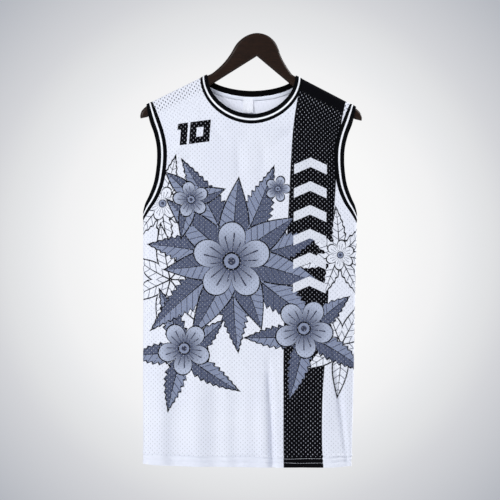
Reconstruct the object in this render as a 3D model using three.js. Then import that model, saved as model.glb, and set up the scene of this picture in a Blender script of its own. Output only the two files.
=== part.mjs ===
// Sleeveless mesh basketball jersey on a flat wooden hanger, at real size.
// Millimetres. +Z is up, -Y is the garment's front and +X the wearer's left.
// The origin is the top of the hanger's crown, where the hanger is held.
import * as THREE from "three";

// How the whole thing hangs
const TILT = THREE.MathUtils.degToRad(0.6); // lower on the wearer's left
const MIDDLE_X = -7.7; // the garment's and the arms' middle, to one side of the crown

// Cloth and seams
const MESH_WALL = 1.2;
const RIB_WALL = 1.6;
const RIB_PROUD = 0.2; // the rib stands this far out of the mesh beside it
const HEM_WALL = 1.8; // two layers of mesh, turned up
const HEM_TURN = 18;
const SEAM_GAP = 0.3;

// Shoulders: the cloth's top line, over the hanger's arms
const RIDGE_TOP = -37.3; // where the two shoulder lines would meet
const SHOULDER_SLOPE = 0.5065;
const SHOULDER_RISE = Math.hypot(1, SHOULDER_SLOPE); // upright height for each unit across the arm
const RIDGE_RADIUS = 8; // of the cloth's outside, over an arm
const RIDGE_STEPS = 4; // facets in its quarter turn
const QUARTER = (RIDGE_RADIUS * Math.PI) / 2;
const FALL = 110; // drop below the shoulder over which the cloth opens to the body's depth

// Body: a shallow oval section that changes down the garment
const SIDE_POWER = 3; // squareness of the section's rounded sides
const BODY = [
  // z, half width, depth of the front and of the back from the side seams
  { z: 0, half: 202.7, front: 20, back: 18 },
  { z: -180, half: 202.7, front: 22, back: 19 },
  { z: -357, half: 202.7, front: 26, back: 21 },
  { z: -590, half: 200.5, front: 27, back: 22 },
  { z: -850, half: 197.9, front: 25, back: 21 },
];
const HEM_Z = -823.5;
const HEM_CORNER_LIFT = 3.6; // the hem's rise at the side seams

// Neck: half ovals, from the shoulder seam down to the middle
const NECK_POWER = 1.9;
const NECK = {
  front: { seamHalf: 97.3, seamDrop: 86.5, freeHalf: 84, freeDrop: 75 },
  back: { seamHalf: 97.3, seamDrop: 40.4, freeHalf: 84, freeDrop: 29.5 },
};
const NECK_STEPS = { front: 7, back: 5 }; // on each half, past the shoulder's quarter turn
const SHOULDER_STEPS = 6;

// Armholes: the panel's edge and the binding's free edge, from the shoulder seam to the side seam
const ARMHOLE = [
  { panelX: 188.7, panelDrop: 0, freeX: 199.5, freeDrop: 0 }, // on the shoulder line
  { panelX: 176.2, panelZ: -160.5, freeX: 192.6, freeZ: -168.0 },
  { panelX: 167.4, panelZ: -188.0, freeX: 184.2, freeZ: -192.5 },
  { panelX: 162.0, panelZ: -212.8, freeX: 179.2, freeZ: -215.0 },
  { panelX: 160.7, panelZ: -235.0, freeX: 178.0, freeZ: -235.0 },
  { panelX: 162.2, panelZ: -260.0, freeX: 179.3, freeZ: -257.5 },
  { panelX: 167.2, panelZ: -290.0, freeX: 183.6, freeZ: -285.0 },
  { panelX: 178.2, panelZ: -317.3, freeX: 191.8, freeZ: -308.8 },
  { panelX: 192.5, panelZ: -339.5, freeX: 199.6, freeZ: -326.5 },
  { panelX: 202.7, panelZ: -357.0, freeX: 202.7, freeZ: -339.5 },
];
const ARMHOLE_STEPS = 2; // between two rows of the table, past the shoulder's quarter turn
const BINDING_STEPS = 2; // across a binding
const SIDE_ROWS = 11; // from the armhole to the top of the hem
const BULGE_REACH = 8; // power by which the armhole's curve dies away towards the middle, clear of the neck

// Folds: upright troughs (depth below 0) and ridges, from their top to the hem
const FOLDS = {
  front: [
    { x: 36, lean: 0.052, top: -560, full: -690, width: 11, depth: -5 },
    { x: 20, lean: 0.05, top: -600, full: -760, width: 16, depth: 2.5 },
    { x: 176, lean: 0.06, top: -560, full: -700, width: 12, depth: -4 },
    { x: -62, lean: 0, top: -480, full: -760, width: 22, depth: -2.5 },
    { x: -130, lean: -0.03, top: -520, full: -780, width: 26, depth: -3 },
    { x: -95, lean: 0, top: -560, full: -780, width: 20, depth: 2 },
  ],
  back: [
    { x: -48, lean: -0.05, top: -430, full: -700, width: 15, depth: -4.5 },
    { x: 74, lean: 0.04, top: -520, full: -760, width: 20, depth: -3.5 },
    { x: 12, lean: 0, top: -560, full: -780, width: 24, depth: 2.5 },
    { x: 140, lean: 0.05, top: -600, full: -800, width: 18, depth: -3 },
  ],
};

// Neck tape and label, sewn inside the back of the neck
const TAPE_WIDTH = 7;
const TAPE_WALL = 0.8;
const TAPE_END = 80; // half of its length across the back
const TAPE_STEPS = 20;
const LABEL = { x: -6.2, width: 19, top: -123.5, height: 27.5, wall: 0.6 };

// Hanger
const ARM_THICKNESS = 12;
const ARM_EDGE = 5.9; // radius of its rounded edges
const ARM_TOP = RIDGE_TOP - 2 * SHOULDER_RISE;
const ARM_HEIGHT = 21; // upright
const ARM_SHOULDER = 197.3; // half width where the tips start to round off
const ARM_TIP = 210; // half span
const TIP_CORNER_Z = -164.5;
// The crown as it is seen, a little uneven: it leans to the wearer's left
const CROWN = [
  [-80, -75.6], [-62.3, -59.2], [-49, -41.9], [-35.7, -19.8], [-19, -5.9], [0, 0],
  [18.4, -3], [32.2, -12.2], [40.8, -24.1], [47.8, -42.6], [56.5, -59.4], [68, -76.5],
];
const CROWN_ROOT = { left: -89, right: 74 };
const VEE = { left: -82, apexX: 2, apexZ: -44.1, right: 70 };

const FRONT = { name: "front", side: -1 };
const BACK = { name: "back", side: 1 };

const ridgeZ = (x) => RIDGE_TOP - SHOULDER_SLOPE * Math.abs(x);

const smooth = (from, to, value) => {
  const t = THREE.MathUtils.clamp((value - from) / (to - from), 0, 1);
  return t * t * (3 - 2 * t);
};

// The section at one height, eased between the rows of the BODY table
function bodyAt(z) {
  const last = BODY.length - 2;
  const found = BODY.findIndex((row, n) => n > 0 && z >= row.z) - 1;
  const n = found < 0 ? last : found;
  const t = smooth(BODY[n].z, BODY[n + 1].z, z);
  const mix = (key) => THREE.MathUtils.lerp(BODY[n][key], BODY[n + 1][key], t);
  return { half: mix("half"), front: mix("front"), back: mix("back") };
}

function foldDepth(panel, x, z) {
  let depth = 0;
  for (const fold of FOLDS[panel.name]) {
    const centre = fold.x + fold.lean * (fold.top - z);
    const reach = (x - centre) / fold.width;
    depth += fold.depth * smooth(fold.top, fold.full, z) * Math.exp(-reach * reach);
  }
  return depth;
}

// Girth is the way down the cloth from the shoulder line, first round the arm and then straight down
function girthAt(x, z) {
  const drop = ridgeZ(x) - z;
  const quarterDrop = RIDGE_RADIUS * SHOULDER_RISE;
  if (drop >= quarterDrop) return QUARTER + drop - quarterDrop;
  return RIDGE_RADIUS * Math.acos(1 - Math.max(drop, 0) / quarterDrop);
}

// A point of the cloth on the front or back, `inset` below its outer face, `part` from the plane of the seams
function clothPoint(panel, x, girth, inset, part = 0) {
  const radius = RIDGE_RADIUS - inset;
  const turn = Math.min(girth / RIDGE_RADIUS, Math.PI / 2);
  const past = Math.max(girth - QUARTER, 0);
  const z = ridgeZ(x) - SHOULDER_RISE * (RIDGE_RADIUS - radius * Math.cos(turn)) - past;
  const body = bodyAt(z);
  const across = Math.min(Math.abs(x) / body.half, 1);
  const section = (1 - across ** SIDE_POWER) ** (1 / SIDE_POWER);
  const open = smooth(0, FALL, past);
  const full = (body[panel.name] - inset + foldDepth(panel, x, z)) * section;
  const depth = radius * Math.sin(turn) * (1 - open) + full * open;
  return new THREE.Vector3(MIDDLE_X + x * (1 - (open * inset) / body.half), panel.side * (depth + part), z);
}

// Closes stations of outer and inner points into one wall: a loop of stations, or a strip with two ends
function wallGeometry(stations, loop) {
  const across = stations[0].outer.length;
  const ring = 2 * across;
  const positions = [];
  for (const { outer, inner } of stations) {
    for (const p of [...outer, ...[...inner].reverse()]) positions.push(p.x, p.y, p.z);
  }
  const index = [];
  const quad = (a, b, c, d) => index.push(a, b, c, a, c, d);
  const spans = loop ? stations.length : stations.length - 1;
  for (let s = 0; s < spans; s++) {
    const here = s * ring;
    const next = ((s + 1) % stations.length) * ring;
    for (let k = 0; k < ring; k++) {
      const l = (k + 1) % ring;
      quad(here + k, next + k, next + l, here + l);
    }
  }
  if (!loop) {
    const end = (stations.length - 1) * ring;
    for (let k = 0; k < across - 1; k++) {
      quad(k, k + 1, ring - 2 - k, ring - 1 - k);
      quad(end + k, end + ring - 1 - k, end + ring - 2 - k, end + k + 1);
    }
  }
  const geometry = new THREE.BufferGeometry();
  geometry.setAttribute("position", new THREE.Float32BufferAttribute(positions, 3));
  geometry.setIndex(volumeOf(positions, index) < 0 ? index.reverse() : index);
  geometry.computeVertexNormals();
  return geometry;
}

function volumeOf(positions, index) {
  const corner = (n) => new THREE.Vector3().fromArray(positions, 3 * index[n]);
  let volume = 0;
  for (let n = 0; n < index.length; n += 3) {
    volume += corner(n).dot(corner(n + 1).cross(corner(n + 2))) / 6;
  }
  return volume;
}

// Steps along a neckline from the shoulder seam to the middle: fine round the arm, then even
function neckTurns(panel) {
  const { seamDrop } = NECK[panel.name];
  const turns = [];
  for (let n = 0; n < RIDGE_STEPS; n++) {
    const drop = RIDGE_RADIUS * (1 - Math.cos((n * Math.PI) / (2 * RIDGE_STEPS)));
    turns.push(Math.asin((drop / seamDrop) ** (NECK_POWER / 2)));
  }
  const rest = NECK_STEPS[panel.name];
  const from = Math.asin((RIDGE_RADIUS / seamDrop) ** (NECK_POWER / 2));
  for (let n = 0; n <= rest; n++) turns.push(THREE.MathUtils.lerp(from, Math.PI / 2, n / rest));
  return turns;
}

// A point of a neckline as x and girth
function neckPoint(half, drop, turn) {
  const x = half * Math.cos(turn) ** (2 / NECK_POWER);
  const z = ridgeZ(half) - drop * Math.sin(turn) ** (2 / NECK_POWER);
  return new THREE.Vector2(x, girthAt(x, z));
}

// The armhole from the shoulder seam to the side seam: matching points of the panel's and the free edge
function armholeEdges() {
  const curve = (x, z) =>
    new THREE.SplineCurve(
      ARMHOLE.map((row) => new THREE.Vector2(row[x], row[z] === undefined ? 0 : girthAt(row[x], row[z])))
    );
  const panel = curve("panelX", "panelZ");
  const free = curve("freeX", "freeZ");
  const last = ARMHOLE.length - 1;
  const firstGirth = panel.points[1].y;
  const steps = [];
  for (let n = 0; n <= RIDGE_STEPS; n++) steps.push((n * QUARTER) / RIDGE_STEPS / firstGirth);
  steps.push((steps[RIDGE_STEPS] + 1) / 2);
  for (let n = ARMHOLE_STEPS; n <= last * ARMHOLE_STEPS; n++) steps.push(n / ARMHOLE_STEPS);
  return steps.map((n) => ({ panel: panel.getPoint(n / last), free: free.getPoint(n / last) }));
}

// The panel's outer edge, from the shoulder to the hem, as x and girth
function panelSide() {
  const edge = armholeEdges().map((row) => row.panel);
  const from = ARMHOLE[ARMHOLE.length - 1].panelZ;
  const to = hemZ(1) + HEM_TURN;
  for (let n = 1; n <= SIDE_ROWS; n++) {
    const z = THREE.MathUtils.lerp(from, to, n / SIDE_ROWS);
    edge.push(new THREE.Vector2(bodyAt(z).half, girthAt(bodyAt(z).half, z)));
  }
  const half = bodyAt(hemZ(1)).half;
  edge.push(new THREE.Vector2(half, girthAt(half, hemZ(1))));
  return edge;
}

const hemZ = (across) => HEM_Z + HEM_CORNER_LIFT * across ** 6;

// Half of a panel's top edge, from the armhole along the shoulder and down the neckline
function panelTop(panel) {
  const { seamHalf, seamDrop } = NECK[panel.name];
  const edge = [];
  for (let n = 0; n < SHOULDER_STEPS; n++) {
    edge.push(new THREE.Vector2(THREE.MathUtils.lerp(ARMHOLE[0].panelX, seamHalf, n / SHOULDER_STEPS), 0));
  }
  for (const turn of neckTurns(panel)) edge.push(neckPoint(seamHalf, seamDrop, turn));
  return edge;
}

// Front or back: a patch stretched between its top edge, its two sides and the hem
function panelGeometry(panel) {
  const side = panelSide();
  const half = panelTop(panel);
  const top = [
    ...half.map((p) => new THREE.Vector2(-p.x, p.y)),
    ...half.slice(0, -1).reverse(),
  ];
  const columns = top.length - 1;
  const [first, last] = [side[0], side[side.length - 1]];
  const stations = side.map((edge) => {
    const down = edge.y / last.y;
    const bulge = edge.x - THREE.MathUtils.lerp(first.x, last.x, down);
    const outer = [];
    const inner = [];
    top.forEach((start, n) => {
      const across = Math.sin(Math.PI * (n / columns - 0.5));
      const hemX = across * last.x;
      const hemGirth = girthAt(hemX, hemZ(Math.abs(across)));
      const x = THREE.MathUtils.lerp(start.x, hemX, down) + bulge * Math.sign(across) * across ** BULGE_REACH;
      const girth = THREE.MathUtils.lerp(start.y, hemGirth, down);
      const wall = THREE.MathUtils.lerp(MESH_WALL, HEM_WALL, down === 1 ? 1 : 0);
      outer.push(clothPoint(panel, x, girth, 0, SEAM_GAP / 2));
      inner.push(clothPoint(panel, x, girth, wall, SEAM_GAP / 2));
    });
    return { outer, inner };
  });
  return wallGeometry(stations, false);
}

// One station of a binding, from the seam, a gap away, to its free edge
function bindingStation(panel, seam, free) {
  const start = SEAM_GAP / seam.distanceTo(free);
  const outer = [];
  const inner = [];
  for (let n = 0; n <= BINDING_STEPS; n++) {
    const p = seam.clone().lerp(free, THREE.MathUtils.lerp(start, 1, n / BINDING_STEPS));
    outer.push(clothPoint(panel, p.x, p.y, -RIB_PROUD));
    inner.push(clothPoint(panel, p.x, p.y, RIB_WALL - RIB_PROUD));
  }
  return { outer, inner };
}

function neckBindingGeometry() {
  const quarter = (panel, sign) => {
    const { seamHalf, seamDrop, freeHalf, freeDrop } = NECK[panel.name];
    return neckTurns(panel).map((turn) => {
      const flip = (p) => new THREE.Vector2(sign * p.x, p.y);
      const seam = flip(neckPoint(seamHalf, seamDrop, turn));
      return bindingStation(panel, seam, flip(neckPoint(freeHalf, freeDrop, turn)));
    });
  };
  const stations = [
    ...quarter(FRONT, -1),
    ...quarter(FRONT, 1).reverse().slice(1),
    ...quarter(BACK, 1).slice(1),
    ...quarter(BACK, -1).reverse().slice(1, -1),
  ];
  return wallGeometry(stations, true);
}

function armholeBindingGeometry(sign) {
  const flip = (p) => new THREE.Vector2(sign * p.x, p.y);
  const half = (panel) => armholeEdges().map((row) => bindingStation(panel, flip(row.panel), flip(row.free)));
  return wallGeometry([...half(FRONT), ...half(BACK).reverse().slice(1, -1)], true);
}

// The tape over the back neck seam, and the label that hangs from it: both lie on the back's inner face
function neckTapeGeometry() {
  const { seamHalf, seamDrop } = NECK.back;
  const from = MESH_WALL + RIB_PROUD + SEAM_GAP;
  const widest = Math.acos((TAPE_END / seamHalf) ** (NECK_POWER / 2));
  const stations = [];
  for (let n = 0; n <= TAPE_STEPS; n++) {
    const turn = THREE.MathUtils.lerp(widest, Math.PI - widest, n / TAPE_STEPS);
    const seam = neckPoint(seamHalf, seamDrop, Math.min(turn, Math.PI - turn));
    const x = turn < Math.PI / 2 ? seam.x : -seam.x;
    const edges = [seam.y + 1, seam.y + 1 - TAPE_WIDTH];
    stations.push({
      outer: edges.map((girth) => clothPoint(BACK, x, girth, from)),
      inner: edges.map((girth) => clothPoint(BACK, x, girth, from + TAPE_WALL)),
    });
  }
  return wallGeometry(stations, false);
}

function neckLabelGeometry() {
  const from = MESH_WALL + RIB_PROUD + TAPE_WALL + 2 * SEAM_GAP;
  const stations = [];
  for (const down of [0, 0.25, 0.5, 0.75, 1]) {
    const z = LABEL.top - LABEL.height * down;
    const xs = [-0.5, 0, 0.5].map((n) => LABEL.x + LABEL.width * n);
    stations.push({
      outer: xs.map((x) => clothPoint(BACK, x, girthAt(x, z), from)),
      inner: xs.map((x) => clothPoint(BACK, x, girthAt(x, z), from + LABEL.wall)),
    });
  }
  return wallGeometry(stations, false);
}

// Outline of the hanger, extruded with fully rounded edges
function hangerGeometry() {
  const topAt = (x) => ARM_TOP - SHOULDER_SLOPE * Math.abs(x - MIDDLE_X);
  const underAt = (x) => topAt(x) - ARM_HEIGHT;
  const tip = (sign) => MIDDLE_X + sign * ARM_TIP;
  const shoulder = (sign) => MIDDLE_X + sign * ARM_SHOULDER;
  const outline = new THREE.Shape();
  outline.moveTo(tip(-1), TIP_CORNER_Z);
  outline.quadraticCurveTo(tip(-1), TIP_CORNER_Z + 14, shoulder(-1), topAt(shoulder(-1)));
  outline.lineTo(CROWN_ROOT.left, topAt(CROWN_ROOT.left));
  outline.splineThru(CROWN.map(([x, z]) => new THREE.Vector2(x, z)));
  outline.lineTo(CROWN_ROOT.right, topAt(CROWN_ROOT.right));
  outline.lineTo(shoulder(1), topAt(shoulder(1)));
  outline.quadraticCurveTo(tip(1), TIP_CORNER_Z + 14, tip(1), TIP_CORNER_Z);
  outline.lineTo(shoulder(1), underAt(shoulder(1)));
  outline.lineTo(VEE.right, underAt(VEE.right));
  outline.lineTo(VEE.apexX, VEE.apexZ);
  outline.lineTo(VEE.left, underAt(VEE.left));
  outline.lineTo(shoulder(-1), underAt(shoulder(-1)));
  outline.closePath();
  const depth = ARM_THICKNESS - 2 * ARM_EDGE;
  const geometry = new THREE.ExtrudeGeometry(outline, {
    depth,
    curveSegments: 2,
    bevelEnabled: true,
    bevelThickness: ARM_EDGE,
    bevelSize: ARM_EDGE,
    bevelOffset: -ARM_EDGE,
    bevelSegments: 4,
  });
  geometry.translate(0, 0, -depth / 2);
  geometry.rotateX(Math.PI / 2);
  return geometry;
}

const whiteMesh = { color: 0xe6e9f4, roughness: 0.75, metalness: 0 };
const stripedRib = { color: 0x17171d, roughness: 0.8, metalness: 0 };
const whiteTape = { color: 0xe9ecf2, roughness: 0.7, metalness: 0 };
const darkWood = { color: 0x2b1d1a, roughness: 0.4, metalness: 0 };

const PIECES = [
  ["hanger", hangerGeometry(), darkWood],
  ["front_panel", panelGeometry(FRONT), whiteMesh],
  ["back_panel", panelGeometry(BACK), whiteMesh],
  ["neck_binding", neckBindingGeometry(), stripedRib],
  ["right_armhole_binding", armholeBindingGeometry(-1), stripedRib],
  ["left_armhole_binding", armholeBindingGeometry(1), stripedRib],
  ["neck_tape", neckTapeGeometry(), whiteTape],
  ["neck_label", neckLabelGeometry(), whiteTape],
];

const jersey = new THREE.Group();
jersey.rotation.y = TILT;
for (const [name, geometry, finish] of PIECES) {
  const mesh = new THREE.Mesh(geometry, new THREE.MeshStandardMaterial(finish));
  mesh.name = name;
  jersey.add(mesh);
}

export default jersey;
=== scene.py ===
"""Dresses a sleeveless mesh basketball jersey on a flat wooden hanger, in metres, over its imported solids."""

from __future__ import annotations

import logging
import math
from dataclasses import asdict, dataclass, field, fields
from enum import Enum
from typing import Callable, Mapping, Sequence

import bpy
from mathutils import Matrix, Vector

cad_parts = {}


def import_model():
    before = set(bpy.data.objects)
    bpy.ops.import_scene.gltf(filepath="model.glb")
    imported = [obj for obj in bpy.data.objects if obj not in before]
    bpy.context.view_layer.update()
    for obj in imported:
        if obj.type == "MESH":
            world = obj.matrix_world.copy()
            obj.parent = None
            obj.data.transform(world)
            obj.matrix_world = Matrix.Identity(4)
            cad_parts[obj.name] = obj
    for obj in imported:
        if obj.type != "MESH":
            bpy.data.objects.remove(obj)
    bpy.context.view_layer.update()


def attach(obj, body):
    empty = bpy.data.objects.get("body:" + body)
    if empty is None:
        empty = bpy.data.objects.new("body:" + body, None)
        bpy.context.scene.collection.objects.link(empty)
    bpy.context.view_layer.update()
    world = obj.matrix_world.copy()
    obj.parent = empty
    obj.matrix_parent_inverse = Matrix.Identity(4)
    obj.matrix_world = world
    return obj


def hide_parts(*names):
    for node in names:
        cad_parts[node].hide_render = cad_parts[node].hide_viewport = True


LOG = logging.getLogger("jersey")
MM = 0.001
BODY = "root"
UV_NAME = "flat"
MATH = "ShaderNodeMath"
VECTOR = "ShaderNodeVectorMath"
MIX = "ShaderNodeMix"
RANGE = "ShaderNodeMapRange"  # Takes a value, the two ends that it comes from and the two that it goes to
SPLIT = "ShaderNodeSeparateXYZ"
BUMP = "ShaderNodeBump"
TURN = "ShaderNodeVectorRotate"

Point = tuple[float, float]
Tree = bpy.types.NodeTree
Node = bpy.types.Node
Socket = bpy.types.NodeSocket
Source = Node | Socket
Inputs = Mapping[int | str, object] | Sequence[object]
Material = bpy.types.Material
Piece = bpy.types.Object


class Side(Enum):
    """Which panel of the garment a point lies on."""

    FRONT = -1
    BACK = 1


def linear(code: str, alpha: float = 1.0) -> tuple[float, float, float, float]:
    """Turns an sRGB hex colour into linear values.

    Args:
        code: Six hex digits.
        alpha: The fourth value.

    Returns:
        Red, green, blue and alpha.
    """
    values = [int(code[n : n + 2], 16) / 255 for n in (0, 2, 4)]
    made = [v / 12.92 if v <= 0.04045 else ((v + 0.055) / 1.055) ** 2.4 for v in values]
    return made[0], made[1], made[2], alpha


def smooth(start: float, end: float, value: float) -> float:
    """Eases from 0 at start to 1 at end."""
    t = min(max((value - start) / (end - start), 0.0), 1.0)
    return t * t * (3 - 2 * t)


def lerp(a: float, b: float, t: float) -> float:
    """Returns the value t of the way from a to b."""
    return a + (b - a) * t


def between(a: Point, b: Point, t: float) -> Point:
    """Returns the point t of the way from a to b."""
    return lerp(a[0], b[0], t), lerp(a[1], b[1], t)


def spline(points: Sequence[Point], where: float) -> Point:
    """Reads a Catmull-Rom curve through points.

    Args:
        points: The points it passes through.
        where: 0 at the first point and 1 at the last.

    Returns:
        The curve's point there.
    """
    place = where * (len(points) - 1)
    n = min(int(place), len(points) - 2)
    t = place - n
    p0, p1, p2 = points[max(n - 1, 0)], points[n], points[n + 1]
    p3 = points[min(n + 2, len(points) - 1)]

    def one(k: int) -> float:
        """Reads one coordinate."""
        v0, v1 = (p2[k] - p0[k]) / 2, (p3[k] - p1[k]) / 2
        cube = 2 * p1[k] - 2 * p2[k] + v0 + v1
        square = -3 * p1[k] + 3 * p2[k] - 2 * v0 - v1
        return ((cube * t + square) * t + v0) * t + p1[k]

    return one(0), one(1)


@dataclass(frozen=True)
class Fold:
    """An upright trough, or a ridge where depth is above 0, from its top down to the hem, in millimetres."""

    x: float
    lean: float
    top: float
    full: float
    width: float
    depth: float

    def at(self, x: float, z: float) -> float:
        """Returns how far the fold moves the cloth out at x, z."""
        if z > self.top:
            return 0.0
        reach = (x - self.x - self.lean * (self.top - z)) / self.width
        if abs(reach) > 3:
            return 0.0
        return self.depth * smooth(self.top, self.full, z) * math.exp(-reach * reach)


@dataclass(frozen=True)
class Crease:
    """A short soft crease between two points of the cloth, in millimetres."""

    start: Point
    end: Point
    width: float
    depth: float

    def at(self, x: float, z: float) -> float:
        """Returns how far the crease moves the cloth out at x, z."""
        dx, dz = self.end[0] - self.start[0], self.end[1] - self.start[1]
        long = math.hypot(dx, dz)
        along = ((x - self.start[0]) * dx + (z - self.start[1]) * dz) / (long * long)
        if not 0 < along < 1:
            return 0.0
        reach = ((x - self.start[0]) * dz - (z - self.start[1]) * dx) / (long * self.width)
        if abs(reach) > 3:
            return 0.0
        return self.depth * math.sin(math.pi * along) ** 2 * math.exp(-reach * reach)


# Troughs and ridges that run to the hem: x, lean, top, full, width and depth
FRONT_FOLDS = (
    (35, 0.052, -590, -690, 6, -8.5),
    (22, 0.05, -600, -740, 12, 5.5),
    (50, 0.05, -620, -780, 12, 2.5),
    (156, 0.125, -560, -680, 8, -12.0),
    (140, 0.08, -590, -720, 11, 4.5),
    (-62, 0, -460, -740, 18, -5.6),
    (-26, 0.01, -520, -760, 13, -4.4),
    (-130, -0.03, -500, -760, 22, -6.4),
    (-95, 0, -540, -760, 16, 4.0),
    (-168, 0.02, -560, -770, 13, 3.5),
    (100, 0.02, -620, -790, 18, -4.4),
)
BACK_FOLDS = (
    (-48, -0.05, -430, -700, 11, -6.5),
    (-24, -0.05, -520, -760, 14, 3.6),
    (74, 0.04, -520, -760, 16, -6.0),
    (100, 0.03, -560, -780, 13, 3.4),
    (12, 0, -560, -780, 20, 4.0),
    (140, 0.05, -600, -800, 14, -5.4),
    (-128, 0.02, -560, -780, 18, -5.2),
    (-166, 0.02, -600, -790, 13, 3.4),
)
# Short creases round the armholes and under the arms: start, end, width and depth
FRONT_CREASES = (
    ((-165, -262), (-92, -232), 7, -3.6),
    ((-168, -290), (-80, -268), 8, 3.4),
    ((-160, -236), (-112, -206), 6, 2.8),
    ((-175, -318), (-105, -330), 9, -3.4),
    ((-186, -345), (-120, -385), 9, 3.0),
    ((-182, -372), (-96, -452), 12, -3.2),
    ((170, -310), (96, -292), 9, -3.4),
    ((168, -268), (112, -246), 8, 2.6),
    ((186, -345), (118, -392), 11, 3.4),
    ((-96, -150), (-30, -232), 11, -3.0),
    ((100, -160), (24, -236), 12, -3.2),
    ((-27, -180), (-22, -300), 9, -3.0),
    ((-4, -176), (4, -320), 11, 3.0),
    ((20, -182), (26, -290), 9, -3.2),
    ((-40, -300), (-52, -520), 22, -3.4),
    ((70, -330), (60, -560), 20, -3.0),
    ((-190, -420), (-120, -640), 18, 3.6),
    ((-110, -420), (-84, -600), 16, 2.8),
)
BACK_CREASES = (
    ((168, -268), (96, -232), 8, -3.6),
    ((170, -300), (84, -286), 9, 3.4),
    ((180, -340), (112, -386), 10, -3.2),
    ((-166, -284), (-100, -250), 8, -3.4),
    ((-178, -330), (-104, -380), 11, 3.4),
    ((-184, -372), (-92, -470), 13, -3.4),
    ((90, -130), (30, -250), 13, -3.4),
    ((-92, -132), (-24, -262), 12, -3.0),
    ((-26, -132), (-30, -300), 9, -2.6),
    ((-4, -140), (6, -330), 14, 3.0),
    ((34, -136), (40, -250), 8, -2.4),
    ((60, -360), (48, -600), 22, -3.4),
    ((-120, -430), (-96, -640), 18, 3.2),
)
FOLDS = {
    side: (*(Fold(*row) for row in folds), *(Crease(*row) for row in creases))
    for side, folds, creases in (
        (Side.FRONT, FRONT_FOLDS, FRONT_CREASES),
        (Side.BACK, BACK_FOLDS, BACK_CREASES),
    )
}


@dataclass(frozen=True)
class Section:
    """The body's oval section at one height, in millimetres."""

    z: float
    half: float
    front: float
    back: float


@dataclass(frozen=True)
class Drape:
    """The form in which the cloth hangs: over the hanger's arms, then down a shallow oval body."""

    tilt: float = math.radians(0.6)
    middle: float = -7.7
    ridge_top: float = -37.3
    slope: float = 0.5065
    radius: float = 8.0
    fall: float = 110.0
    power: float = 3.0
    hem_z: float = -823.5
    corner_lift: float = 3.6
    body: tuple[Section, ...] = (
        Section(0, 202.7, 20, 18),
        Section(-180, 202.7, 22, 19),
        Section(-357, 202.7, 26, 21),
        Section(-590, 200.5, 27, 22),
        Section(-850, 197.9, 25, 21),
    )
    folds: dict[Side, tuple[Fold | Crease, ...]] = field(default_factory=lambda: FOLDS)

    @property
    def rise(self) -> float:
        """Upright height for each unit across an arm."""
        return math.hypot(1, self.slope)

    @property
    def quarter(self) -> float:
        """Girth of the quarter turn over an arm."""
        return self.radius * math.pi / 2

    def ridge(self, x: float) -> float:
        """Returns the height of the shoulder line at x."""
        return self.ridge_top - self.slope * abs(x)

    def hem(self, across: float) -> float:
        """Returns the hem's height, `across` from 0 at the middle to 1 at a side seam."""
        return self.hem_z + self.corner_lift * abs(across) ** 6

    def section(self, z: float) -> Section:
        """Returns the body's section at height z."""
        rows = self.body
        n = len(rows) - 2
        for k in range(1, len(rows)):
            if z >= rows[k].z:
                n = k - 1
                break
        a, b = rows[n], rows[n + 1]
        t = smooth(a.z, b.z, z)
        return Section(z, lerp(a.half, b.half, t), lerp(a.front, b.front, t), lerp(a.back, b.back, t))

    def girth(self, x: float, z: float) -> float:
        """Returns the way down the cloth from the shoulder line to height z."""
        drop = self.ridge(x) - z
        turn_drop = self.radius * self.rise
        if drop >= turn_drop:
            return self.quarter + drop - turn_drop
        return self.radius * math.acos(1 - max(drop, 0.0) / turn_drop)

    def point(self, side: Side, x: float, girth: float, inset: float, part: float = 0.0) -> Vector:
        """Places a point of the cloth.

        Args:
            side: Front or back.
            x: Across, from the garment's middle.
            girth: Down the cloth from the shoulder line.
            inset: Below the cloth's outer face.
            part: Away from the plane of the seams.

        Returns:
            The point, in metres, as the jersey hangs.
        """
        radius = self.radius - inset
        turn = min(girth / self.radius, math.pi / 2)
        past = max(girth - self.quarter, 0.0)
        z = self.ridge(x) - self.rise * (self.radius - radius * math.cos(turn)) - past
        body = self.section(z)
        across = min(abs(x) / body.half, 1.0)
        round_off = (1 - across**self.power) ** (1 / self.power)
        opening = smooth(0, self.fall, past)
        shift = sum(fold.at(x, z) for fold in self.folds[side])
        depth_here = body.front if side is Side.FRONT else body.back
        full = (depth_here - inset + shift) * round_off
        depth = radius * math.sin(turn) * (1 - opening) + full * opening
        px = self.middle + x * (1 - opening * inset / body.half)
        turned_x = px * math.cos(self.tilt) + z * math.sin(self.tilt)
        turned_z = z * math.cos(self.tilt) - px * math.sin(self.tilt)
        return Vector((turned_x, side.value * (depth + part), turned_z)) * MM

    def flat(self, x: float, girth: float) -> Point:
        """Returns where a point lay on the cut cloth, in metres: across from the middle, and height."""
        z = self.ridge(x) - self.radius * self.rise + self.quarter - girth
        body = self.section(z)
        reach = min(abs(x) / body.half, 1.0)
        ratio = (body.front + body.back) / 2 / body.half
        steps = 12
        long = 0.0
        last = (0.0, 1.0)
        for n in range(1, steps + 1):
            u = reach * math.sin(math.pi / 2 * n / steps)
            here = (u, (1 - u**self.power) ** (1 / self.power))
            long += math.hypot(here[0] - last[0], (here[1] - last[1]) * ratio)
            last = here
        return math.copysign(long * body.half * MM, x), z * MM


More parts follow.
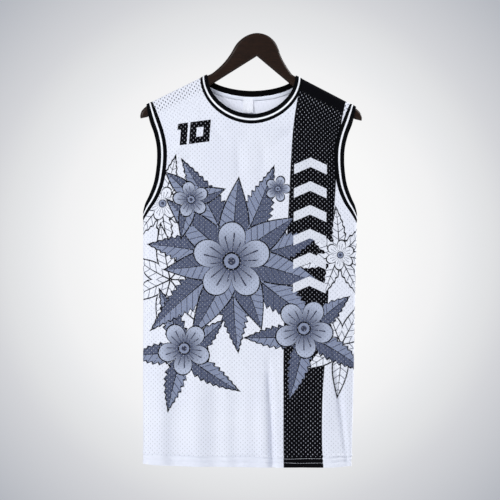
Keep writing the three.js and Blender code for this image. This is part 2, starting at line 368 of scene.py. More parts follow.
@dataclass(frozen=True)
class Neckline:
    """Half ovals of one side's neckline, in millimetres: at the seam, and at the binding's free edge."""

    seam_half: float = 97.3
    seam_drop: float = 86.5
    free_half: float = 84.0
    free_drop: float = 75.0
    power: float = 1.9

    def turns(self, radius: float, fine: int, rest: int) -> list[float]:
        """Lists steps from the shoulder seam to the middle.

        Args:
            radius: Of the cloth over the arm, where the steps are fine.
            fine: Steps in that quarter turn.
            rest: Even steps below it.

        Returns:
            The turns, in radians.
        """
        made = []
        for n in range(fine):
            drop = radius * (1 - math.cos(n * math.pi / 2 / fine))
            made.append(math.asin((drop / self.seam_drop) ** (self.power / 2)))
        start = math.asin((radius / self.seam_drop) ** (self.power / 2))
        return made + [lerp(start, math.pi / 2, n / rest) for n in range(rest + 1)]

    def point(self, drape: Drape, turn: float, free: float) -> Point:
        """Returns a point as x and girth.

        Args:
            drape: The cloth's form.
            turn: 0 at the shoulder seam, a quarter turn at the middle.
            free: 0 on the seam, 1 on the free edge.
        """
        half = lerp(self.seam_half, self.free_half, free)
        drop = lerp(self.seam_drop, self.free_drop, free)
        x = half * max(math.cos(turn), 0.0) ** (2 / self.power)
        z = drape.ridge(half) - drop * math.sin(turn) ** (2 / self.power)
        return x, drape.girth(x, z)


@dataclass(frozen=True)
class ArmholeRow:
    """Matching points of an armhole's seam and its binding's free edge, in millimetres."""

    seam_x: float
    seam_z: float
    free_x: float
    free_z: float


@dataclass(frozen=True)
class Armhole:
    """The armhole from the shoulder seam to the side seam."""

    rows: tuple[ArmholeRow, ...] = (
        ArmholeRow(175.6, -160.5, 193.0, -168.0),
        ArmholeRow(165.8, -188.0, 184.2, -192.5),
        ArmholeRow(160.0, -212.8, 179.0, -215.0),
        ArmholeRow(158.5, -235.0, 177.6, -235.0),
        ArmholeRow(160.0, -260.5, 178.6, -257.5),
        ArmholeRow(165.2, -291.0, 182.9, -285.0),
        ArmholeRow(176.6, -318.8, 191.2, -308.8),
        ArmholeRow(191.8, -341.4, 199.4, -326.5),
        ArmholeRow(202.7, -358.8, 202.7, -339.5),
    )
    top_seam: float = 188.7
    top_free: float = 199.5

    def edges(self, drape: Drape, fine: int, steps: int) -> list[tuple[Point, Point]]:
        """Lists matching points of the seam and the free edge, each as x and girth.

        Args:
            drape: The cloth's form.
            fine: Steps in the quarter turn over the arm.
            steps: Steps between two rows of the table.
        """
        seam = [(self.top_seam, 0.0)] + [(r.seam_x, drape.girth(r.seam_x, r.seam_z)) for r in self.rows]
        free = [(self.top_free, 0.0)] + [(r.free_x, drape.girth(r.free_x, r.free_z)) for r in self.rows]
        last = len(seam) - 1
        first = drape.quarter / seam[1][1]
        places = [n * first / fine for n in range(fine)]
        places += [lerp(first, 1, n / steps) for n in range(steps)]
        places += [n / steps for n in range(steps, last * steps + 1)]
        return [(spline(seam, p / last), spline(free, p / last)) for p in places]


def fill(tree: Tree, node: Node, inputs: Inputs) -> None:
    """Sets a node's inputs, each to a value, or linked from a socket or from a node's first output.

    Args:
        tree: Where the node is.
        node: The node.
        inputs: By name or number, or in their order.
    """
    for key, value in inputs.items() if isinstance(inputs, Mapping) else enumerate(inputs):
        source = value.outputs[0] if isinstance(value, Node) else value
        if isinstance(source, Socket):
            tree.links.new(source, node.inputs[key])
        else:
            node.inputs[key].default_value = source


def add(tree: Tree, kind: str, inputs: Inputs = (), operation: str = "", **settings: object) -> Node:
    """Adds a node.

    Args:
        tree: Where it goes.
        kind: The node's type.
        inputs: What goes into it.
        operation: What it does, for a kind of node that has a choice.
        settings: Its other properties.

    Returns:
        The node.
    """
    made = tree.nodes.new(kind)
    if operation:
        made.operation = operation
    for name, value in settings.items():
        setattr(made, name, value)
    fill(tree, made, inputs)
    return made


def paint(tree: Tree, under: object, cover: Source, ink: object) -> Socket:
    """Lays ink over a colour where cover is 1, and returns the new colour."""
    return add(tree, MIX, {"Factor": cover, 6: under, 7: ink}, data_type="RGBA").outputs[2]


def new_material(name: str) -> tuple[Material, Tree, Node]:
    """Makes a material with one Principled shader and returns it, its tree and the shader."""
    made = bpy.data.materials.new(name)
    made.use_nodes = True
    tree = made.node_tree
    return made, tree, next(n for n in tree.nodes if n.type == "BSDF_PRINCIPLED")


def put(name: str, data: bpy.types.ID) -> Piece:
    """Adds an object with the given data to the scene."""
    made = bpy.data.objects.new(name, data)
    bpy.context.scene.collection.objects.link(made)
    return made


def select_only(piece: Piece) -> None:
    """Selects one object and makes it active."""
    bpy.ops.object.select_all(action="DESELECT")
    piece.select_set(True)
    bpy.context.view_layer.objects.active = piece


def face_outwards(piece: Piece, merged: float = 0.0) -> None:
    """Turns all of a piece's faces outwards.

    Args:
        piece: The piece.
        merged: How near together points are made one, in metres, or 0 for none.
    """
    select_only(piece)
    bpy.ops.object.mode_set(mode="EDIT")
    bpy.ops.mesh.select_all(action="SELECT")
    if merged:
        bpy.ops.mesh.remove_doubles(threshold=merged)
    bpy.ops.mesh.normals_make_consistent(inside=False)
    bpy.ops.object.mode_set(mode="OBJECT")


@dataclass(frozen=True)
class Holes:
    """The mesh knit's eyelets: a centred lattice, in metres on the cut cloth."""

    across: float = 8.8 * MM
    down: float = 8.4 * MM
    radius: float = 0.9 * MM
    soft: float = 0.12 * MM
    tall: float = 0.58
    veil: float = 0.87
    opened: Point = (24.0 * MM, 42.0 * MM)
    shrink: Point = (0.86, 1.17)
    ridge_top: float = -37.3 * MM
    slope: float = 0.5065
    arm: Point = (20.0 * MM, 31.0 * MM)
    turned: Point = (22.0 * MM, 130.0 * MM)
    rise: float = 0.24
    pivot: Point = (132.0 * MM, -150.0 * MM)
    wrinkles: float = 3.2
    hem_top: float = -804.0 * MM

    def _drop(self, tree: Tree) -> tuple[Source, ...]:
        """Returns a point's height on the cut cloth, its way aside and its drop from the shoulder."""
        split = add(tree, SPLIT, [add(tree, "ShaderNodeUVMap", uv_map=UV_NAME)])
        height = split.outputs["Y"]
        aside = add(tree, MATH, [split.outputs["X"]], "ABSOLUTE")
        ridge = add(tree, MATH, [aside, -self.slope, self.ridge_top], "MULTIPLY_ADD")
        drop = add(tree, MATH, [ridge, height], "SUBTRACT")
        return height, aside, drop

    def distance(self, tree: Tree) -> Source:
        """Adds nodes that measure how far a point lies from the nearest eyelet's middle.

        On the shoulders the hanger's slope turns the knit, so there its rows rise towards the neck.
        """
        height, aside, drop = self._drop(tree)
        rise = add(tree, RANGE, [drop, *self.turned, self.rise, 0.0], interpolation_type="SMOOTHSTEP")
        past = add(tree, MATH, [aside, self.pivot[0]], "SUBTRACT")
        under = add(tree, MATH, [self.pivot[1], height], "SUBTRACT")
        turned_x = add(tree, MATH, [under, rise, aside], "MULTIPLY_ADD")
        turned_z = add(tree, MATH, [past, rise, height], "MULTIPLY_ADD")
        place = add(tree, "ShaderNodeCombineXYZ", {"X": turned_x, "Y": turned_z})
        cells = add(tree, VECTOR, [place, (self.across, self.down, 1.0)], "DIVIDE")
        size = (self.across, self.down * self.tall, 0.0)
        reach = []
        for offset in (0.0, 0.5):
            moved = add(tree, VECTOR, [cells, (offset, offset, 0.0)], "ADD")
            within = add(tree, VECTOR, [moved], "FRACTION")
            centred = add(tree, VECTOR, [within, (0.5, 0.5, 0.0)], "SUBTRACT")
            sized = add(tree, VECTOR, [centred, size], "MULTIPLY")
            reach.append(add(tree, VECTOR, [sized], "LENGTH").outputs["Value"])
        nearest = add(tree, MATH, reach, "MINIMUM")
        # The jersey's weight opens the eyelets most where it hangs from the arms
        closed = add(tree, RANGE, [drop, *self.opened, *self.shrink], interpolation_type="SMOOTHSTEP")
        return add(tree, MATH, [nearest, closed], "MULTIPLY")

    def cloth(self, tree: Tree, distance: Source, colour: Source | None) -> Source:
        """Adds the node that is 0 in an eyelet and 1 on the cloth, as on the doubled hem.

        Light from inside the jersey scatters across the eyelets of undyed threads, so these are drawn
        partly covered, as painted light, except where the hanger's arm keeps that light out. Over the
        arm, eyelets in dark dye are drawn shut, as painted shade.

        Args:
            tree: Where the nodes go.
            distance: How far a point lies from the nearest eyelet's middle.
            colour: The dyed colour, or None for white.
        """
        edges = [distance, self.radius - self.soft, self.radius + self.soft]
        single = add(tree, RANGE, edges, interpolation_type="SMOOTHSTEP")
        height, _, drop = self._drop(tree)
        doubled = add(tree, MATH, [height, self.hem_top], "LESS_THAN")
        whole = add(tree, MATH, [single, doubled], "MAXIMUM")
        veil = add(tree, RANGE, [drop, *self.arm, 0.0, self.veil])
        if colour is not None:
            value = add(tree, "ShaderNodeRGBToBW", {"Color": colour})
            veil = add(tree, MATH, [value, veil], "MULTIPLY")
            # On the arm, eyelets in dark dye are drawn shut: painted shade, where the shadowed inside and the
            # dark wood would show through the black threads
            near = add(tree, RANGE, [drop, *self.arm, 1.0, 0.0])
            dark = add(tree, MATH, [1.0, value], "SUBTRACT")
            merged = add(tree, MATH, [near, dark], "MULTIPLY")
            whole = add(tree, MATH, [whole, merged], "MAXIMUM")
        return add(tree, MATH, [whole, veil], "MAXIMUM")

    def relief(self, tree: Tree, distance: Source) -> Source:
        """Adds the height of the knit: rounded down into each eyelet, with fine loops between."""
        rim = add(
            tree,
            RANGE,
            [distance, self.radius, 2.4 * self.radius],
            interpolation_type="SMOOTHSTEP",
        )
        place = add(tree, "ShaderNodeUVMap", uv_map=UV_NAME)
        # Real loops are 0.6 mm across; they are drawn at 1.5 mm, the least that shows
        loops = add(
            tree,
            "ShaderNodeTexWave",
            {"Vector": place, "Scale": 210.0, "Distortion": 1.2, "Detail": 1.0},
            bands_direction="DIAGONAL",
        )
        fine = add(tree, MATH, [loops.outputs["Fac"], 0.22], "MULTIPLY")
        knit = add(tree, MATH, [rim, fine], "ADD")
        # Handled mesh never lies quite smooth: it keeps faint slanting wrinkles about 15 mm apart
        slant = add(
            tree, "ShaderNodeMapping", {"Vector": place, "Rotation": (0, 0, 0.7), "Scale": (34.0, 90.0, 1.0)}
        )
        wrinkle = add(tree, "ShaderNodeTexNoise", {"Vector": slant, "Scale": 1.0, "Detail": 2.0})
        return add(tree, MATH, [wrinkle.outputs["Fac"], self.wrinkles, knit], "MULTIPLY_ADD")


@dataclass(frozen=True)
class Ink:
    """The print's colours, as sRGB hex."""

    white: str = "E8EBF3"
    black: str = "06060A"
    dark: str = "3C4052"
    mid: str = "565D73"
    light: str = "8891A9"
    pale: str = "B0B8CB"


@dataclass(frozen=True)
class Spray:
    """Printed leaves round one foot, in millimetres on the cut cloth, the first at the turn given in degrees.

    The count is odd. Bend sways each tip aside, lobed is 0 for smooth edges, bare is 1 for uncoloured leaves.
    """

    x: float
    z: float
    turn: float
    count: int
    length: float
    width: float
    bend: float = 0.0
    lobed: float = 0.0
    bare: float = 0.0


@dataclass(frozen=True)
class Blossom:
    """One printed blossom, in millimetres on the cut cloth: its middle, radius and turn in degrees."""

    x: float
    z: float
    radius: float
    turn: float = 0.0
    petals: int = 5
    bare: float = 0.0


# What turns a motif's values into a group's. All others are lengths.
MOTIF_UNITS = {"turn": math.radians(1), "count": 1.0, "petals": 1.0, "lobed": 1.0, "bare": 1.0}


class MotifPainter:
    """Draws leaves and blossoms as node groups, each laid over the colour that comes in."""

    outline: float = 2.6 * MM
    soft: float = 0.6 * MM
    vein_pitch: float = 14.0 * MM

    def __init__(self, ink: Ink) -> None:
        """Makes both groups."""
        self.ink = ink
        self.groups = {kind: self._start(kind) for kind in (Spray, Blossom)}
        self._draw_spray(self.groups[Spray])
        self._draw_blossom(self.groups[Blossom])

    def _start(self, kind: type[Spray] | type[Blossom]) -> Tree:
        """Makes an empty group: a place, a colour and a motif's values come in, and a colour goes out."""
        tree = bpy.data.node_groups.new(f"Printed {kind.__name__.lower()}", "ShaderNodeTree")
        tree.interface.new_socket("Place", in_out="INPUT", socket_type="NodeSocketVector")
        tree.interface.new_socket("Under", in_out="INPUT", socket_type="NodeSocketColor")
        for value in fields(kind):
            tree.interface.new_socket(value.name, in_out="INPUT", socket_type="NodeSocketFloat")
        tree.interface.new_socket("Colour", in_out="OUTPUT", socket_type="NodeSocketColor")
        return tree

    def _polar(self, tree: Tree, given: Mapping[str, Socket]) -> tuple[Source, Source]:
        """Returns how far a place lies from the motif's foot or middle, and its angle there."""
        foot = add(tree, "ShaderNodeCombineXYZ", {"X": given["x"], "Y": given["z"]})
        moved = add(tree, VECTOR, [given["Place"], foot], "SUBTRACT")
        back = add(tree, MATH, [given["turn"], -1.0], "MULTIPLY")
        turned = add(tree, TURN, {"Vector": moved, "Angle": back}, rotation_type="Z_AXIS")
        axes = add(tree, SPLIT, [turned]).outputs
        reach = add(tree, VECTOR, [turned], "LENGTH").outputs["Value"]
        return reach, add(tree, MATH, [axes["Y"], axes["X"]], "ARCTAN2")

    def _below(self, tree: Tree, value: object, limit: object) -> Source:
        """Returns 1 where value is under limit, with an edge as soft as ink on knit."""
        room = add(tree, MATH, [limit, value], "SUBTRACT")
        return add(tree, RANGE, [room, 0.0, self.soft])

    def _draw_spray(self, tree: Tree) -> None:
        """Fills the leaf group: pointed blades in two tones, their veins, and a black outline."""
        given = add(tree, "NodeGroupInput").outputs
        reach, angle = self._polar(tree, given)
        step = add(tree, MATH, [2 * math.pi, given["count"]], "DIVIDE")
        share = add(tree, MATH, [angle, step], "DIVIDE")
        number = add(tree, MATH, [share], "ROUND")
        aside = add(tree, MATH, [share, number], "SUBTRACT")
        inner_angle = add(tree, MATH, [aside, step], "MULTIPLY")
        cosine = add(tree, MATH, [inner_angle], "COSINE")
        sine = add(tree, MATH, [inner_angle], "SINE")
        leaf_x = add(tree, MATH, [reach, cosine], "MULTIPLY")
        leaf_y = add(tree, MATH, [reach, sine], "MULTIPLY")
        # No two leaves of a spray are of one length
        uneven = add(tree, MATH, [number, 2.3, given["x"]], "MULTIPLY_ADD")
        wave_of = add(tree, MATH, [uneven], "SINE")
        stretch = add(tree, MATH, [wave_of, 0.14, 1.0], "MULTIPLY_ADD")
        length = add(tree, MATH, [given["length"], stretch], "MULTIPLY")
        along = add(tree, MATH, [leaf_x, length], "DIVIDE", use_clamp=True)
        bow = add(tree, MATH, [along, 2.0], "POWER")
        sway = add(tree, MATH, [bow, given["bend"]], "MULTIPLY")
        off = add(tree, MATH, [leaf_y, sway], "SUBTRACT")
        away = add(tree, MATH, [off], "ABSOLUTE")
        # Blade's half width: a sine along the leaf, fuller near its foot
        early = add(tree, MATH, [along, 0.72], "POWER")
        swing = add(tree, MATH, [early, math.pi], "MULTIPLY")
        wave = add(tree, MATH, [swing], "SINE")
        body = add(tree, MATH, [wave, given["width"]], "MULTIPLY")
        lean = add(tree, MATH, [away, 0.75], "MULTIPLY")
        vein_place = add(tree, MATH, [leaf_x, lean], "SUBTRACT")
        vein_count = add(tree, MATH, [vein_place, self.vein_pitch], "DIVIDE")
        tooth = add(tree, MATH, [vein_count], "FRACT")
        peak = add(tree, MATH, [vein_count, 0.5], "PINGPONG")
        bite = add(tree, MATH, [peak, given["lobed"]], "MULTIPLY")
        keep = add(tree, MATH, [1.0, bite], "SUBTRACT")
        half = add(tree, MATH, [body, keep], "MULTIPLY")
        inner = add(tree, MATH, [half, self.outline], "SUBTRACT")
        # The outline is drawn first, then the blade inside it
        whole = self._below(tree, away, half)
        blade = self._below(tree, away, inner)
        colour = paint(tree, given["Under"], whole, linear(self.ink.black))
        upper = self._below(tree, 0.0, off)
        tone = paint(tree, linear(self.ink.mid), upper, linear(self.ink.light))
        filled = paint(tree, tone, given["bare"], linear(self.ink.white))
        colour = paint(tree, colour, blade, filled)
        # Side veins, then the midrib
        vein = add(tree, MATH, [tooth, 0.13], "LESS_THAN")
        veins = add(tree, MATH, [vein, blade], "MULTIPLY")
        faint = add(tree, MATH, [veins, 0.85], "MULTIPLY")
        colour = paint(tree, colour, faint, linear(self.ink.dark))
        rib = add(tree, RANGE, [along, 0.0, 1.0, 1.7 * MM, 0.5 * MM])
        spine = self._below(tree, away, rib)
        inside = add(tree, MATH, [spine, whole], "MULTIPLY")
        colour = paint(tree, colour, inside, linear(self.ink.black))
        add(tree, "NodeGroupOutput", {"Colour": colour})

    def _draw_blossom(self, tree: Tree) -> None:
        """Fills the blossom group: round petals, darker inwards, with strokes, a heart and an outline."""
        given = add(tree, "NodeGroupInput").outputs
        reach, angle = self._polar(tree, given)
        share = add(tree, MATH, [angle, given["petals"]], "MULTIPLY")
        halved = add(tree, MATH, [share, 0.5], "MULTIPLY")
        lobe = add(tree, MATH, [halved], "COSINE")
        plus = add(tree, MATH, [lobe], "ABSOLUTE")
        fuller = add(tree, MATH, [plus, 0.55], "POWER")
        scaled = add(tree, RANGE, [fuller, 0.0, 1.0, 0.42, 1.0])
        edge = add(tree, MATH, [scaled, given["radius"]], "MULTIPLY")
        inner = add(tree, MATH, [edge, self.outline], "SUBTRACT")
        colour = paint(tree, given["Under"], self._below(tree, reach, edge), linear(self.ink.black))
        petal = self._below(tree, reach, inner)
        far = add(tree, MATH, [reach, given["radius"]], "DIVIDE")
        fade = add(tree, RANGE, [far, 0.25, 0.8])
        tone = paint(tree, linear(self.ink.mid), fade, linear(self.ink.pale))
        filled = paint(tree, tone, given["bare"], linear(self.ink.white))
        colour = paint(tree, colour, petal, filled)
        # Fine strokes run out along each petal
        spokes = add(tree, MATH, [share, 3.5], "MULTIPLY")
        comb = add(tree, MATH, [spokes], "SINE")
        sharp = add(tree, MATH, [comb, 0.86], "GREATER_THAN")
        short = add(tree, RANGE, [plus, 0.0, 1.0, 0.36, 0.72])
        near = add(tree, MATH, [far, short], "LESS_THAN")
        stroke = add(tree, MATH, [sharp, near], "MULTIPLY")
        kept = add(tree, MATH, [stroke, petal], "MULTIPLY")
        colour = paint(tree, colour, kept, linear(self.ink.dark))
        for size, ink in ((0.235, self.ink.black), (0.19, self.ink.light), (0.1, self.ink.dark)):
            disc = add(tree, MATH, [given["radius"], size], "MULTIPLY")
            colour = paint(tree, colour, self._below(tree, reach, disc), linear(ink))
        add(tree, "NodeGroupOutput", {"Colour": colour})

    def lay(self, tree: Tree, place: Source, under: Source, motif: Spray | Blossom) -> Socket:
        """Lays one motif over a colour and returns the new colour."""
        values = {name: value * MOTIF_UNITS.get(name, MM) for name, value in asdict(motif).items()}
        inputs = {"Place": place, "Under": under, **values}
        return add(tree, "ShaderNodeGroup", inputs, node_tree=self.groups[type(motif)]).outputs["Colour"]


@dataclass(frozen=True)
class FrontPrint:
    """What is dyed into the front: a black stripe with chevrons, a plain number, leaves and blossoms."""

    ink: Ink = Ink()
    # Height and the x of the stripe's two edges, in millimetres
    stripe: tuple[tuple[float, float, float], ...] = (
        (-60, 100, 201),
        (-128, 87, 180),
        (-181, 80, 170),
        (-250, 76, 164),
        (-325, 73, 160),
        (-450, 68.5, 152),
        (-590, 66, 146.5),
        (-710, 67, 140.5),
        (-840, 68.5, 144),
    )
    chevron_x: float = 113.5
    chevron_half: float = 31.0
    chevron_top: float = -236.0
    chevron_pitch: float = 45.0
    chevrons: int = 6
    behind: tuple[Spray | Blossom, ...] = (
        Spray(-168, -330, 20, 7, 92, 17, 6, 0.4, 1.0),
        Spray(-150, -470, 52, 7, 100, 18, -6, 0.0, 1.0),
        Spray(170, -420, 40, 7, 88, 16, 6, 0.4, 1.0),
        Spray(176, -590, 12, 7, 92, 17, -6, 0.0, 1.0),
        Blossom(-166, -326, 34, 10, 6, 1.0),
        Blossom(172, -420, 30, 24, 6, 1.0),
    )
    before: tuple[Spray | Blossom, ...] = (
        Spray(-124, -610, 250, 5, 118, 23, 12, 0.5),
        Spray(106, -570, 262, 5, 132, 25, -12, 0.5),
        Spray(-30, -430, 62, 7, 196, 36, 18, 0.5),
        Spray(-30, -430, 92, 7, 158, 30, -14),
        Spray(-110, -316, 130, 3, 74, 16, 8),
        Blossom(-34, -434, 76, 18),
        Blossom(-122, -600, 52, 50),
        Blossom(104, -560, 58, -12),
        Blossom(-112, -318, 36, 30),
        Blossom(52, -296, 26, 0),
    )

    def colour(self, tree: Tree, painter: MotifPainter) -> Source:
        """Adds the whole print and returns its colour."""
        uv = add(tree, "ShaderNodeUVMap", uv_map=UV_NAME)
        split = add(tree, SPLIT, [uv])
        across, height = split.outputs["X"], split.outputs["Y"]
        patch = add(tree, "ShaderNodeTexNoise", {"Vector": uv, "Scale": 9.0, "Detail": 2.0})
        shade = add(tree, RANGE, [patch.outputs["Fac"], 0.3, 0.7])
        cloth = paint(tree, linear("E3E6F0"), shade, linear(self.ink.white))
        stripe = self._stripe(tree, across, height)
        colour = paint(tree, cloth, stripe, linear(self.ink.black))
        for motif in (*self.behind, *self.before):
            colour = painter.lay(tree, uv, colour, motif)
        colour = paint(tree, colour, self._chevrons(tree, across, height), linear("DDE0E8"))
        return self._number(tree, uv, colour, cloth)

    def _stripe(self, tree: Tree, across: Source, height: Source) -> Source:
        """Adds the stripe's cover, between two edges that are drawn as curves of the height."""
        low, high = self.stripe[-1][0], self.stripe[0][0]
        where = add(tree, RANGE, [height, low * MM, high * MM])
        covers = []
        for column, sign in ((1, 1.0), (2, -1.0)):
            edge = add(tree, "ShaderNodeFloatCurve", {"Value": where})
            curve = edge.mapping.curves[0]
            rows = sorted(self.stripe)
            places = [((row[0] - low) / (high - low), row[column] / 250) for row in rows]
            curve.points[0].location = places[0]
            curve.points[1].location = places[-1]
            for place in places[1:-1]:
                curve.points.new(*place)
            edge.mapping.update()
            x = add(tree, MATH, [edge, 250 * MM], "MULTIPLY")
            room = add(tree, MATH, [across, x], "SUBTRACT")
            covers.append(add(tree, RANGE, [room, -0.3 * MM * sign, 0.3 * MM * sign]))
        return add(tree, MATH, [covers[0], covers[1]], "MULTIPLY")

    def _chevrons(self, tree: Tree, across: Source, height: Source) -> Source:
        """Adds the cover of the pale chevrons down the stripe."""
        off = add(tree, MATH, [across, self.chevron_x * MM], "SUBTRACT")
        away = add(tree, MATH, [off], "ABSOLUTE")
        slope = add(tree, MATH, [away, 0.45], "MULTIPLY")
        lifted = add(tree, MATH, [height, slope], "ADD")
        down = add(tree, MATH, [self.chevron_top * MM, lifted], "SUBTRACT")
        count = add(tree, MATH, [down, self.chevron_pitch * MM], "DIVIDE")
        phase = add(tree, MATH, [count], "FRACT")
        band = add(tree, MATH, [phase, 0.4], "LESS_THAN")
        wide = add(tree, MATH, [away, self.chevron_half * MM], "LESS_THAN")
        after = add(tree, MATH, [count, 0.0], "GREATER_THAN")
        before = add(tree, MATH, [count, float(self.chevrons)], "LESS_THAN")
        cover = band
        for part in (wide, after, before):
            cover = add(tree, MATH, [cover, part], "MULTIPLY")
        return cover

    def _number(self, tree: Tree, uv: Source, under: Source, cloth: Source) -> Source:
        """Adds a plain slanted number 10 on the chest, from upright bars."""
        centre = (-107.0 * MM, -191.0 * MM, 0.0)
        moved = add(tree, VECTOR, [uv, centre], "SUBTRACT")
        turned = add(tree, TURN, {"Vector": moved, "Angle": math.radians(-8)}, rotation_type="Z_AXIS")
        split = add(tree, SPLIT, [turned])
        lean = add(tree, MATH, [split.outputs["Y"], -0.2], "MULTIPLY")
        x = add(tree, MATH, [split.outputs["X"], lean], "ADD")
        y = split.outputs["Y"]
        black = linear(self.ink.black)
        bars: tuple[tuple[float, float, float, float, object], ...] = (
            (-20.0, 0.0, 6.8, 20.5, black),
            (-27.5, 14.5, 5.5, 6.0, black),
            (10.5, 0.0, 19.5, 20.5, black),
            (10.5, 0.0, 6.4, 8.8, cloth),
        )
        colour = under
        for left, up, half_wide, half_tall, ink in bars:
            cover = None
            for value, middle, half in ((x, left, half_wide), (y, up, half_tall)):
                off = add(tree, MATH, [value, middle * MM], "SUBTRACT")
                away = add(tree, MATH, [off], "ABSOLUTE")
                part = add(tree, MATH, [away, half * MM], "LESS_THAN")
                cover = part if cover is None else add(tree, MATH, [cover, part], "MULTIPLY")
            colour = paint(tree, colour, cover, ink)
        return colour


@dataclass(frozen=True)
class MeshCloth:
    """Polyester eyelet mesh, knitted and dyed: a soft, slightly silky white with see-through holes."""

    holes: Holes = Holes()

    def finish(self, name: str, colour: Callable[[Tree], Source] | str) -> Material:
        """Makes the cloth's material.

        Args:
            name: The material's name.
            colour: A function that adds the print, or one sRGB hex colour.
        """
        made, tree, shader = new_material(name)
        dyed = None if isinstance(colour, str) else colour(tree)
        distance = self.holes.distance(tree)
        alpha = self.holes.cloth(tree, distance, dyed)
        height = self.holes.relief(tree, distance)
        look = {
            "Base Color": linear(colour) if dyed is None else dyed,
            "Alpha": alpha,
            "Normal": add(tree, BUMP, {"Height": height, "Strength": 0.35, "Distance": 0.4 * MM}),
            "Roughness": 0.6,
            "Specular IOR Level": 0.04,
        }
        fill(tree, shader, look)
        return made


@dataclass(frozen=True)
class StripedRib:
    """Knitted polyester rib: matt black with a white stripe along its middle, and fine upright ribs."""

    black: str = "050609"
    white: str = "F6F8FC"
    pitch: float = 1.6 * MM
    ragged: float = 0.18 * MM
    soft: float = 0.25 * MM

    def finish(self, name: str, first: float, second: float) -> Material:
        """Makes the rib's material, on a UV map with length along and width across, in metres.

        Args:
            name: The material's name.
            first: How far from the seam the white stripe starts, in millimetres.
            second: How far from the seam it ends.
        """
        made, tree, shader = new_material(name)
        split = add(tree, SPLIT, [add(tree, "ShaderNodeUVMap", uv_map=UV_NAME)])
        phase = add(tree, MATH, [split.outputs["X"], 2 * math.pi / self.pitch], "MULTIPLY")
        ribs = add(tree, MATH, [phase], "SINE")
        step = add(tree, MATH, [ribs, self.ragged], "MULTIPLY")
        width = add(tree, MATH, [split.outputs["Y"], step], "ADD")
        sides = []
        for edge, sign in ((first, 1.0), (second, -1.0)):
            room = add(tree, MATH, [width, edge * MM], "SUBTRACT")
            span = [room, -self.soft * sign, self.soft * sign]
            sides.append(add(tree, RANGE, span))
        band = add(tree, MATH, sides, "MULTIPLY")
        look = {
            "Base Color": paint(tree, linear(self.black), band, linear(self.white)),
            "Normal": add(tree, BUMP, {"Height": ribs, "Strength": 0.5, "Distance": 0.25 * MM}),
            "Roughness": 0.8,
            "Specular IOR Level": 0.04,
        }
        fill(tree, shader, look)
        return made


@dataclass(frozen=True)
class WovenTape:
    """Cotton or satin tape: fine crossed threads, matt.

    Real threads are 0.3 mm; they are drawn coarser, at the pitch that shows.
    """

    colour: str = "D0D4DF"
    shade: str = "C4C9D5"
    pitch: float = 1.1 * MM

    def finish(self, name: str) -> Material:
        """Makes the tape's material on Object coordinates."""
        made, tree, shader = new_material(name)
        split = add(tree, SPLIT, [add(tree, "ShaderNodeTexCoord").outputs["Object"]])
        threads = []
        for axis in ("X", "Z"):
            phase = add(tree, MATH, [split.outputs[axis], 2 * math.pi / self.pitch], "MULTIPLY")
            threads.append(add(tree, MATH, [phase], "SINE"))
        weave = add(tree, MATH, threads, "MULTIPLY")
        shade = add(tree, RANGE, [weave, -1.0, 1.0])
        look = {
            "Base Color": paint(tree, linear(self.shade), shade, linear(self.colour)),
            "Normal": add(tree, BUMP, {"Height": weave, "Strength": 0.3, "Distance": 0.1 * MM}),
            "Roughness": 0.7,
        }
        fill(tree, shader, look)
        return made


@dataclass(frozen=True)
class Thread:
    """Spun polyester sewing thread: pale grey, a little glossy."""

    colour: str = "EDEFF5"
    shade: str = "D2D6E0"

    def finish(self, name: str) -> Material:
        """Makes the thread's material, with its twist as fine bands."""
        made, tree, shader = new_material(name)
        place = add(tree, "ShaderNodeTexCoord").outputs["Object"]
        twist = add(tree, "ShaderNodeTexWave", {"Vector": place, "Scale": 900.0}, bands_direction="DIAGONAL")
        colour = paint(tree, linear(self.shade), twist.outputs["Fac"], linear(self.colour))
        fill(tree, shader, {"Base Color": colour, "Roughness": 0.5})
        return made


@dataclass(frozen=True)
class StainedWood:
    """Beech, sanded, stained dark brown and varnished to a satin: faint grain under an even clear film."""

    dark: str = "150A04"
    light: str = "2A170B"

    def finish(self, name: str) -> Material:
        """Makes the wood's material, with its grain along the hanger's arms."""
        made, tree, shader = new_material(name)
        place = add(tree, "ShaderNodeTexCoord").outputs["Object"]
        stretched = add(tree, "ShaderNodeMapping", {"Vector": place, "Scale": (14.0, 160.0, 160.0)})
        noise = add(tree, "ShaderNodeTexNoise", {"Vector": stretched, "Detail": 5.0, "Distortion": 0.4})
        grain = noise.outputs["Fac"]
        tone = add(tree, RANGE, [grain, 0.3, 0.72])
        look = {
            "Base Color": paint(tree, linear(self.dark), tone, linear(self.light)),
            "Roughness": add(tree, RANGE, [grain, 0.0, 1.0, 0.36, 0.46]),
            "Normal": add(tree, BUMP, {"Height": grain, "Strength": 0.08, "Distance": 0.3 * MM}),
            "Specular IOR Level": 0.14,
            "Coat Weight": 0.1,
            "Coat Roughness": 0.3,
        }
        fill(tree, shader, look)
        return made


@dataclass
class Station:
    """One station of a wall: its outer and inner points and where each lay on the cut cloth."""

    outer: list[Vector]
    inner: list[Vector]
    flat: list[Point]


